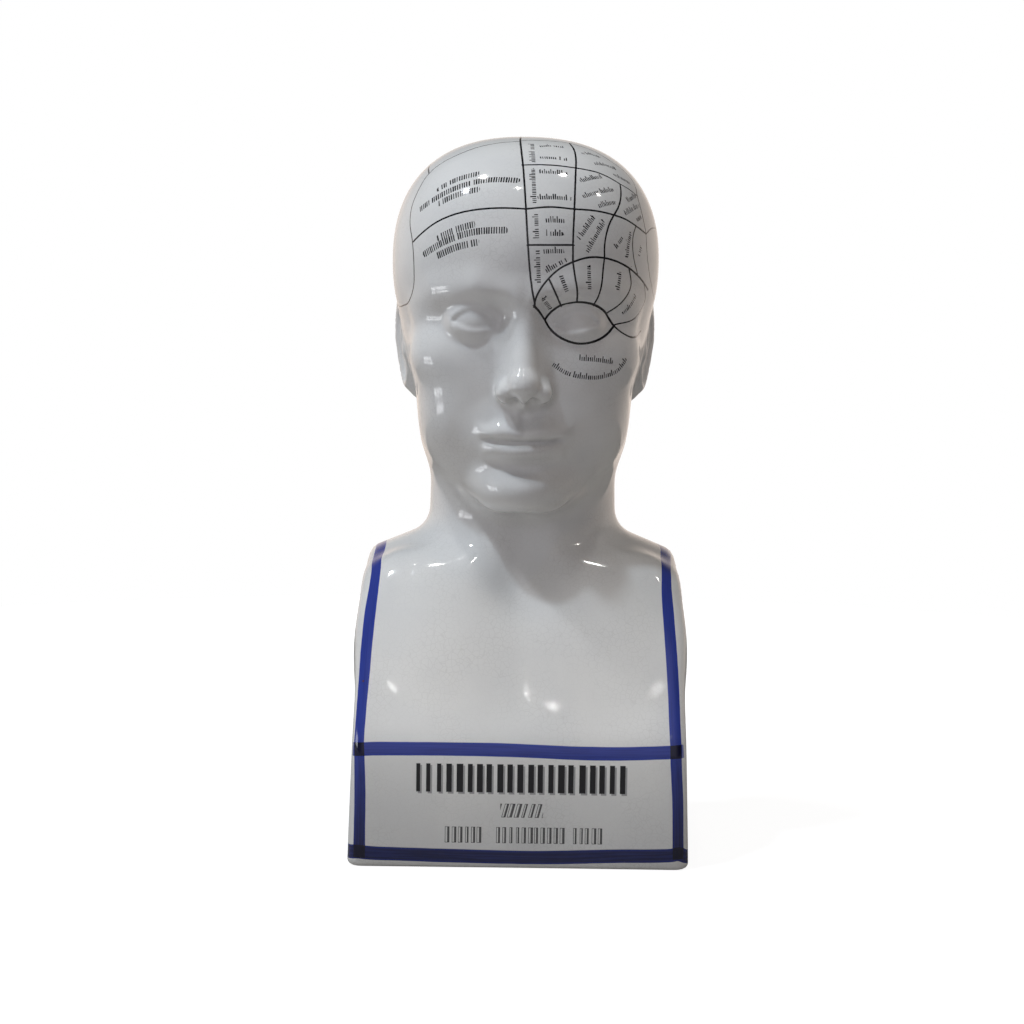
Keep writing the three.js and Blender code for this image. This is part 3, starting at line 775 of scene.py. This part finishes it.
glaze = {
    "body": (0.8, 0.8, 0.785),
    "mottle": (0.74, 0.745, 0.74),
    "crack": (0.4, 0.39, 0.37),
    "crackCell": 2.1,  # in millimetres
    "crackNudge": 0.0022,  # in metres
    "crackEdge": 0.075,
    "crackShare": 0.17,
    "crackDepth": 0.01,  # share of a wave's height
    "ink": (0.012, 0.012, 0.016),
    "softInk": (0.22, 0.22, 0.23),
    "blue": (0.034, 0.055, 0.31),
    # the deep blue serves both the painted shade towards the foot and the darker brush streaks
    "shadeAndStreakBlue": (0.014, 0.018, 0.085),
    "brightBlue": (0.03, 0.06, 0.42),
    "overlap": (0.006, 0.007, 0.03),
    "paintedFootShade": (2, 62, 0.9, 0),  # painted shade, darkening the bands towards the foot: two heights in millimetres, and the deep blue's share at each
    "edgeShare": 0.4,  # of the bright blue along a band's edges
    "shadeShare": 0.75,  # of the drop shade under the big row
    "farSideShare": 0.85,  # of the ink on one side of the outlined strokes
    "fray": 0.16,
    "headStrokes": {"Weight": 0.54, "Height": 2.9, "Gap Share": 0.09},
    "shortShare": 0.68,
    "peelShare": 0.035,  # of a wave's height
    "waveHeight": 0.00022,
    "roughness": 0.055,
    "roughnessRange": 0.05,
    "ior": 1.52,
    # scale, detail and roughness of each noise
    "noise": {"cloud": (28, 3, 0.55), "nudge": (210, 2, 0.5), "patch": (45, 2, 0.5),
              "fray": (700, 2, 0.5), "wave": (55, 1, 0.4), "peel": (420, 1, 0.5)},
}

# The middle of each painted band, widths in millimetres
bands = {
    "stripBand": {"halfWidth": 2.42, "foot": 3.7, "paths": [
        [("seen", 358.8, 860, 359, 835, 359.5, 800, 359, 765, 359, 730, 361.5, 700, 365, 660, 369, 620,
         373, 590, 376, 570, 378, 556, 381, 545), ("at", -58.6, 8, 121, -60, 40, 109, -61.5, 53, 84,
         -63.4, 59, 44, -63.6, 59, 2)],
        [("seen", 678.5, 860, 678.5, 835, 678.3, 800, 676.6, 765, 675.4, 730, 674.3, 700, 672, 660,
         669, 620, 667, 590, 666.4, 570, 665.8, 556, 665, 549), ("at", 58.6, 8, 121, 60, 40, 109,
         61.5, 53, 84, 63.4, 59, 44, 63.6, 59, 2)],
    ]},
    "upperBand": {"halfWidth": 2.68, "foot": 0.0, "paths": [
        [353.5, 749, 366, 749, 400, 748.8, 460, 749.2, 500, 750, 540, 751.6, 580, 753.4, 620, 754,
         660, 753, 682, 751.5],
        [("at", 66, 59, 47, 30, 59, 46.6, -30, 59, 47.3, -66, 59, 47)],
    ]},
    "lowerBand": {"halfWidth": 2.72, "foot": 0.0, "paths": [
        [("at", 3, 59, 4.9, -40, 59, 4.6, -61, 59, 4.8, -66, 57, 4.8, -67.6, 50, 4.8, -67.6, 0, 4.9,
         -67.6, -50, 5.4, -66, -57, 5.8), ("seen", 358, 851.5, 366, 852.5, 400, 854, 460, 856, 500, 857,
         540, 857.6, 580, 857, 620, 856.2, 660, 856, 672, 855.5, 679, 854), ("at", 66, -57, 5.6,
         67.6, -50, 5.2, 67.6, 0, 4.9, 67.6, 50, 4.8, 66, 57, 4.8, 61, 59, 4.8, 40, 59, 4.6,
         -3, 59, 4.8)],
    ]},
}
speck = {"pixel": (363.2, 681), "radius": 0.55, "color": (0.1, 0.05, 0.03), "strength": 0.85}


def layBands(points):
    layers = []
    for name, band in bands.items():
        layer = PrintLayers(name, points, 0, 30.0)
        for parts in band["paths"]:
            index, along, side, past = measureAlong(points, pathThrough(parts, 2.0), 16.0)
            edge = np.maximum(np.maximum(past, -4), np.abs(side) - 8)
            layer.lay(index, np.stack([along, side, edge], 1), np.maximum(np.abs(side), past))
        layers.append(layer)
    return layers


# Rows of strokes on the front of the block, in millimetres; weights are shares of a stroke's cell
inscription = {
    "shadowOffset": 0.7,
    "behind": -40,  # no strokes further back than this
    "heavy": {"ends": (-41.4, 42.8), "foot": 30.6, "top": 41.9, "cell": 4.01, "seed": 11,
              "weight": 0.54, "slant": 0, "gap": 0},
    "italic": {"ends": (-6.6, 9.2), "foot": 20.7, "top": 26.2, "cell": 2.63, "seed": 407,
               "weight": 0.62, "slant": -0.55, "gap": 0, "outline": 0.09},
    "open": {"ends": (-31.5, 33.5), "foot": 10.4, "top": 16.8, "cell": 2.5, "seed": 903,
             "weight": 0.62, "slant": 0, "gap": 0.09, "outline": 0.085},
}


def glazeMaterial(lineNames, rowNames):
    material = bpy.data.materials.new("glazedWhiteWare")
    make = emptied(material)
    position = make.add("TexCoord").outputs["Object"]
    inMillimetres = make.vector("MULTIPLY", position, (1 / metres,) * 3)
    x, y, z = make.split(inMillimetres)
    noise = {name: make.noise(position, *settings) for name, settings in glaze["noise"].items()}
    printedLine, strokeRow, paintedBand = printedLineGroup(), strokeRowGroup(), paintedBandGroup()

    # body and crackle
    cloudy = noise["cloud"][0]
    color = make.paint(make.between(cloudy, 0.35, 0.75), glaze["body"], glaze["mottle"])
    nudge = make.vector("SUBTRACT", noise["nudge"]["Color"], (0.5, 0.5, 0.5))
    nudged = make.vector("MULTIPLY", nudge, (glaze["crackNudge"],) * 3)
    nudged = make.vector("ADD", position, nudged)
    web = make.add("TexVoronoi", {"Vector": nudged, "Scale": 1 / metres / glaze["crackCell"]},
                   feature="DISTANCE_TO_EDGE").outputs["Distance"]
    patchy = make.between(noise["patch"][0], 0.38, 0.66, 0.25, 1)
    crack = make.times(make.between(web, 0, glaze["crackEdge"], 1, 0), patchy)
    color = make.paint(make.times(crack, glaze["crackShare"]), color, glaze["crack"])

    # painted bands
    laid, edge, streak = 0, 0, 0
    for name, band in bands.items():
        made = make.group(paintedBand, {"Value": make.read(name + "1"), "Position": position,
                                        "Half Width": band["halfWidth"]})
        mask = make.times(made["Mask"], make.over(z, band["foot"]))
        laid = make.plus(laid, mask)
        edge = make.most(edge, make.times(made["Edge"], mask))
        streak = make.most(streak, make.times(made["Streak"], mask))
    # painted shade: the bands' blue darkens towards the foot, and the brush streaks vary it as well
    footShade = make.between(z, *glaze["paintedFootShade"])
    deep = make.plus(footShade, make.between(streak, 0.35, 0.7, -0.12, 0.22), clamp=True)
    blue = make.paint(deep, glaze["blue"], glaze["shadeAndStreakBlue"])
    blue = make.paint(make.times(edge, glaze["edgeShare"]), blue, glaze["brightBlue"])
    blue = make.paint(make.between(laid, 1.1, 1.9), blue, glaze["overlap"])
    fromSpeck = make.vector("DISTANCE", inMillimetres, tuple(seen(speck["pixel"])[0]), output="Value")
    spot = make.between(fromSpeck, speck["radius"] * 0.6, speck["radius"], 1, 0)
    blue = make.paint(make.times(spot, speck["strength"]), blue, speck["color"])
    color = make.paint(make.least(laid, 1), color, blue)

    # rows of strokes on the block, and the chart and its rows on the head
    def rowOnBlock(row, offset=0):
        left, right = row["ends"]
        tall = row["top"] - row["foot"]
        along = make.calc("DIVIDE", make.minus(x, left + offset), row["cell"])
        middle = (row["foot"] + row["top"]) / 2 - offset
        across = make.calc("DIVIDE", make.minus(z, middle), tall)
        made = make.group(strokeRow, {
            "Along": along, "Across": across, "Seed": row["seed"], "Weight": row["weight"],
            "Height": tall / row["cell"], "Slant": row["slant"], "Gap Share": row["gap"]})
        spare = abs(row["slant"])
        held = make.times(make.over(x, left + offset - spare), make.under(x, right + offset + spare))
        held = make.times(held, make.under(y, inscription["behind"]))
        return make.times(made["Mask"], held), made["Inset"], made["Side"]

    shadow, _, _ = rowOnBlock(inscription["heavy"], inscription["shadowOffset"])
    color = make.paint(make.times(shadow, glaze["shadeShare"]), color, glaze["softInk"])
    ink, _, _ = rowOnBlock(inscription["heavy"])
    for row in (inscription["italic"], inscription["open"]):
        mask, inset, side = rowOnBlock(row)
        farSide = make.times(make.over(side, 0), glaze["farSideShare"])
        filled = make.most(make.under(inset, row["outline"]), farSide)
        ink = make.most(ink, make.times(mask, filled))
    frayed = make.times(make.minus(noise["fray"][0], 0.5), glaze["fray"])
    for name in lineNames:
        line = make.group(printedLine, {"Value": make.read(name), "Width": chart["widths"]["main"],
                                        "Fray": frayed})
        ink = make.most(ink, line["Mask"])
    for name in rowNames:
        along, across, past = make.split(make.read(name))
        short = 0 if name.startswith("capital") else glaze["shortShare"]
        made = make.group(strokeRow, {"Along": along, "Across": across, "Short Share": short,
                                      **glaze["headStrokes"]})
        ink = make.most(ink, make.times(made["Mask"], make.under(past, 0)))
    color = make.paint(ink, color, glaze["ink"])

    # gloss and the glaze's slow waves
    height = make.plus(noise["wave"][0], make.times(noise["peel"][0], glaze["peelShare"]))
    height = make.minus(height, make.times(crack, glaze["crackDepth"]))
    normal = make.add("Bump", {"Distance": glaze["waveHeight"], "Height": height})
    roughness = make.calc("MULTIPLY_ADD", cloudy, glaze["roughnessRange"], glaze["roughness"])
    make.surface({"Base Color": color, "Roughness": roughness, "IOR": glaze["ior"], "Normal": normal})
    return material


def bareFootMaterial():
    material = bpy.data.materials.new("bareBiscuitFoot")
    make = emptied(material)
    position = make.add("TexCoord").outputs["Object"]
    grain, stain = (make.noise(position, scale, 3, 0.6)[0] for scale in (900, 35))
    color = make.paint(make.between(grain, 0.35, 0.7), (0.66, 0.62, 0.55), (0.56, 0.52, 0.45))
    color = make.paint(make.between(stain, 0.55, 0.8, 0, 0.5), color, (0.38, 0.34, 0.29))
    normal = make.add("Bump", {"Strength": 0.6, "Distance": 0.0002, "Height": grain})
    make.surface({"Base Color": color, "Roughness": make.between(grain, 0.3, 0.7, 0.75, 0.9),
                  "Normal": normal})
    return material


print("bust")
mesh, bustPoints = bustMesh()
print("bands")
for layer in layBands(bustPoints):
    layer.store(mesh)
print("chart")
lineNames = layChart(bustPoints).store(mesh)
print("rows")
rowNames = [name for layers in layRows(bustPoints).values() for name in layers.store(mesh)]
print("materials")
bust = addObject("glazedBust", mesh)
mesh.materials.append(glazeMaterial(lineNames, rowNames))
mesh.materials.append(bareFootMaterial())
underneath = np.array([max(bustPoints[v][2] for v in p.vertices) < 0.05 for p in mesh.polygons])
mesh.polygons.foreach_set("material_index", underneath.astype(np.int32))
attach(bust, "root")
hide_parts("phrenology_bust")

print("studio")
studio = {
    "floorRadius": 0.75,
    "floorGlow": (0.9, 1),  # by the bust and far off
    "floorShade": 0.3,
    "floorBounce": (0.42, 0.4, 0.37),
    "above": (0.06, 0.06, 0.06),
    "leftSide": (0.075, 0.075, 0.085),
    "rightSide": (0.04, 0.035, 0.03),
    "behind": (0.84, 0.73, 0.65),
    # soft glows: degrees round from the front (to the right), degrees up, how wide, colour
    "glows": [(0, 5, 0.6, (0.43, 0.41, 0.45)), (0, 30, 0.85, (0.12, 0.12, 0.11))],
    "aimHeight": 0.17,
    "ceilingAway": 1.6,
    # name, degrees round and up, size, power, colour and whether it shows in the gloss
    "ceiling": [
        ("ceilingLeft", -92, 70, 0.08, 2.8, (1, 0.99, 0.97), True),
        ("ceilingFarLeft", -81, 56, 0.1, 5.8, (0.96, 1, 1.07), True),
        ("ceilingMidLeft", -50, 62, 0.1, 6.3, (0.87, 1, 1.11), False),
        ("ceilingFront", -12, 72, 0.08, 0.8, (1, 0.98, 0.95), True),
        ("ceilingMidRight", 40, 62, 0.07, 0.8, (1, 0.75, 0.5), False),
        ("ceilingRight", 98, 74, 0.08, 2, (1, 0.98, 0.95), True),
        ("ceilingFarRight", 89, 50, 0.06, 0.7, (1, 0.95, 0.9), True),
    ],
    # narrow lamps on the chest and its small highlights: name, degrees round and up, where it aims,
    # power, spread in degrees and whether it shows in the gloss
    "narrow": {"away": 1.84, "size": 0.035, "color": (1, 0.99, 0.96), "lamps": [
        ("chestLeft", -12, 11.5, (-0.044, -0.05, 0.069), 0.0042, 4, False),
        ("chestMiddle", -1.8, 9.5, (0.002, -0.05, 0.069), 0.0009, 4, False),
        ("chestRight", 11.6, 12.7, (0.044, -0.05, 0.069), 0.0035, 4, False),
        ("glintLeft", -12, 11.5, (-0.052, -0.053, 0.072), 0.000012, 1.3, True),
        ("glintMiddle", -1.8, 9.5, (0.012, -0.055, 0.064), 0.000016, 1.3, True),
        ("glintRight", 11.6, 12.7, (0.0556, -0.053, 0.071), 0.000012, 1.3, True),
    ]},
    "window": {"turn": -80, "rise": -13, "away": 1.4, "pane": (0.15, 0.2), "gap": 0.03, "power": 0.545,
               "panes": (3, 3), "color": (0.96, 0.97, 1)},
}


def areaLamp(name, place, facing, size, power, color, glossy=True, spread=180):
    data = bpy.data.lights.new(name, "AREA")
    data.shape = "RECTANGLE" if size[0] != size[1] else "DISK"
    data.size, data.size_y = size
    data.energy, data.color, data.spread = power, color, math.radians(spread)
    lamp = addObject(name, data)
    lamp.location = place
    lamp.rotation_euler = facing.to_track_quat("-Z", "Y").to_euler()
    lamp.visible_glossy = glossy


def buildStudio():
    aimed = Vector((0, 0, studio["aimHeight"]))
    for name, turn, rise, size, power, color, glossy in studio["ceiling"]:
        place = Vector(towards(turn, rise)) * studio["ceilingAway"] + aimed
        areaLamp(name, place, aimed - place, (size, size), power, color, glossy)
    narrow = studio["narrow"]
    for name, turn, rise, aim, power, spread, glossy in narrow["lamps"]:
        place = Vector(towards(turn, rise)) * narrow["away"] + aimed
        size, color = (narrow["size"],) * 2, narrow["color"]
        areaLamp(name, place, Vector(aim) - place, size, power, color, glossy, spread)
    window = studio["window"]
    middle = Vector(towards(window["turn"], window["rise"])) * window["away"] + aimed
    facing = aimed - middle
    across = Vector((facing.y, -facing.x, 0)).normalized()
    upward = across.cross(facing).normalized()
    for cell in np.ndindex(window["panes"]):
        right, up = ((at - (count - 1) / 2) * (side + window["gap"])
                     for at, count, side in zip(cell, window["panes"], window["pane"]))
        areaLamp("windowPane%d%d" % cell, middle + across * right + upward * up, facing,
                 window["pane"], window["power"], window["color"])

    floorMesh = bpy.data.meshes.new("floor")
    rim = [towards(turn, 0) * studio["floorRadius"] for turn in range(0, 360, 5)]
    floorMesh.from_pydata(rim, [], [range(len(rim))])
    floor = addObject("floor", floorMesh)
    material = bpy.data.materials.new("paleFloor")
    make = emptied(material)
    away = make.vector("LENGTH", make.add("TexCoord").outputs["Object"], output="Value")
    strength = make.between(away, 0.1, 0.4, *studio["floorGlow"])
    glow = make.add("Emission", {"Color": (1, 1, 1), "Strength": strength})
    shade = make.add("BsdfDiffuse", {"Color": (studio["floorShade"],) * 3})
    bounce = make.add("BsdfDiffuse", {"Color": studio["floorBounce"]})
    looked = make.add("AddShader", {0: glow, 1: shade})
    make.cameraSees(looked, bounce, "OutputMaterial")
    floorMesh.materials.append(material)

    world = bpy.data.worlds.new("paleRoom")
    scene.world = world
    make = emptied(world)
    look = make.add("TexCoord").outputs["Generated"]
    x, y, z = make.split(look)
    ahead = make.paint(make.between(x, -0.7, 0.7), studio["leftSide"], studio["rightSide"])
    room = make.paint(make.between(y, -0.1, 0.75), ahead, studio["behind"])
    room = make.paint(make.between(z, 0.05, 0.5), room, studio["above"])
    for turn, rise, edge, color in studio["glows"]:
        facing = make.vector("DOT_PRODUCT", look, towards(turn, rise), output="Value")
        room = make.paint(make.between(facing, edge, 1), room, color, "ADD")
    sky = make.add("Background", {"Color": room})
    plain = make.add("Background", {"Color": (1, 1, 1)})
    make.cameraSees(plain, sky, "OutputWorld")


def placeCamera():
    data = bpy.data.cameras.new("camera")
    size = camera["imageSize"]
    data.lens = camera["focalPixels"] / size * data.sensor_width
    data.shift_x = (size / 2 - camera["targetPixel"][0]) / size
    data.shift_y = (camera["targetPixel"][1] - size / 2) / size
    right, up, forward = cameraAxes()
    place = (np.array(camera["target"]) - forward * camera["distance"]) * metres
    scene.camera = addObject("camera", data)
    scene.camera.matrix_world = Matrix(
        [*np.column_stack([right, up, -forward, place]).tolist(), (0, 0, 0, 1)])


buildStudio()
placeCamera()
scene.view_settings.view_transform = "Standard"
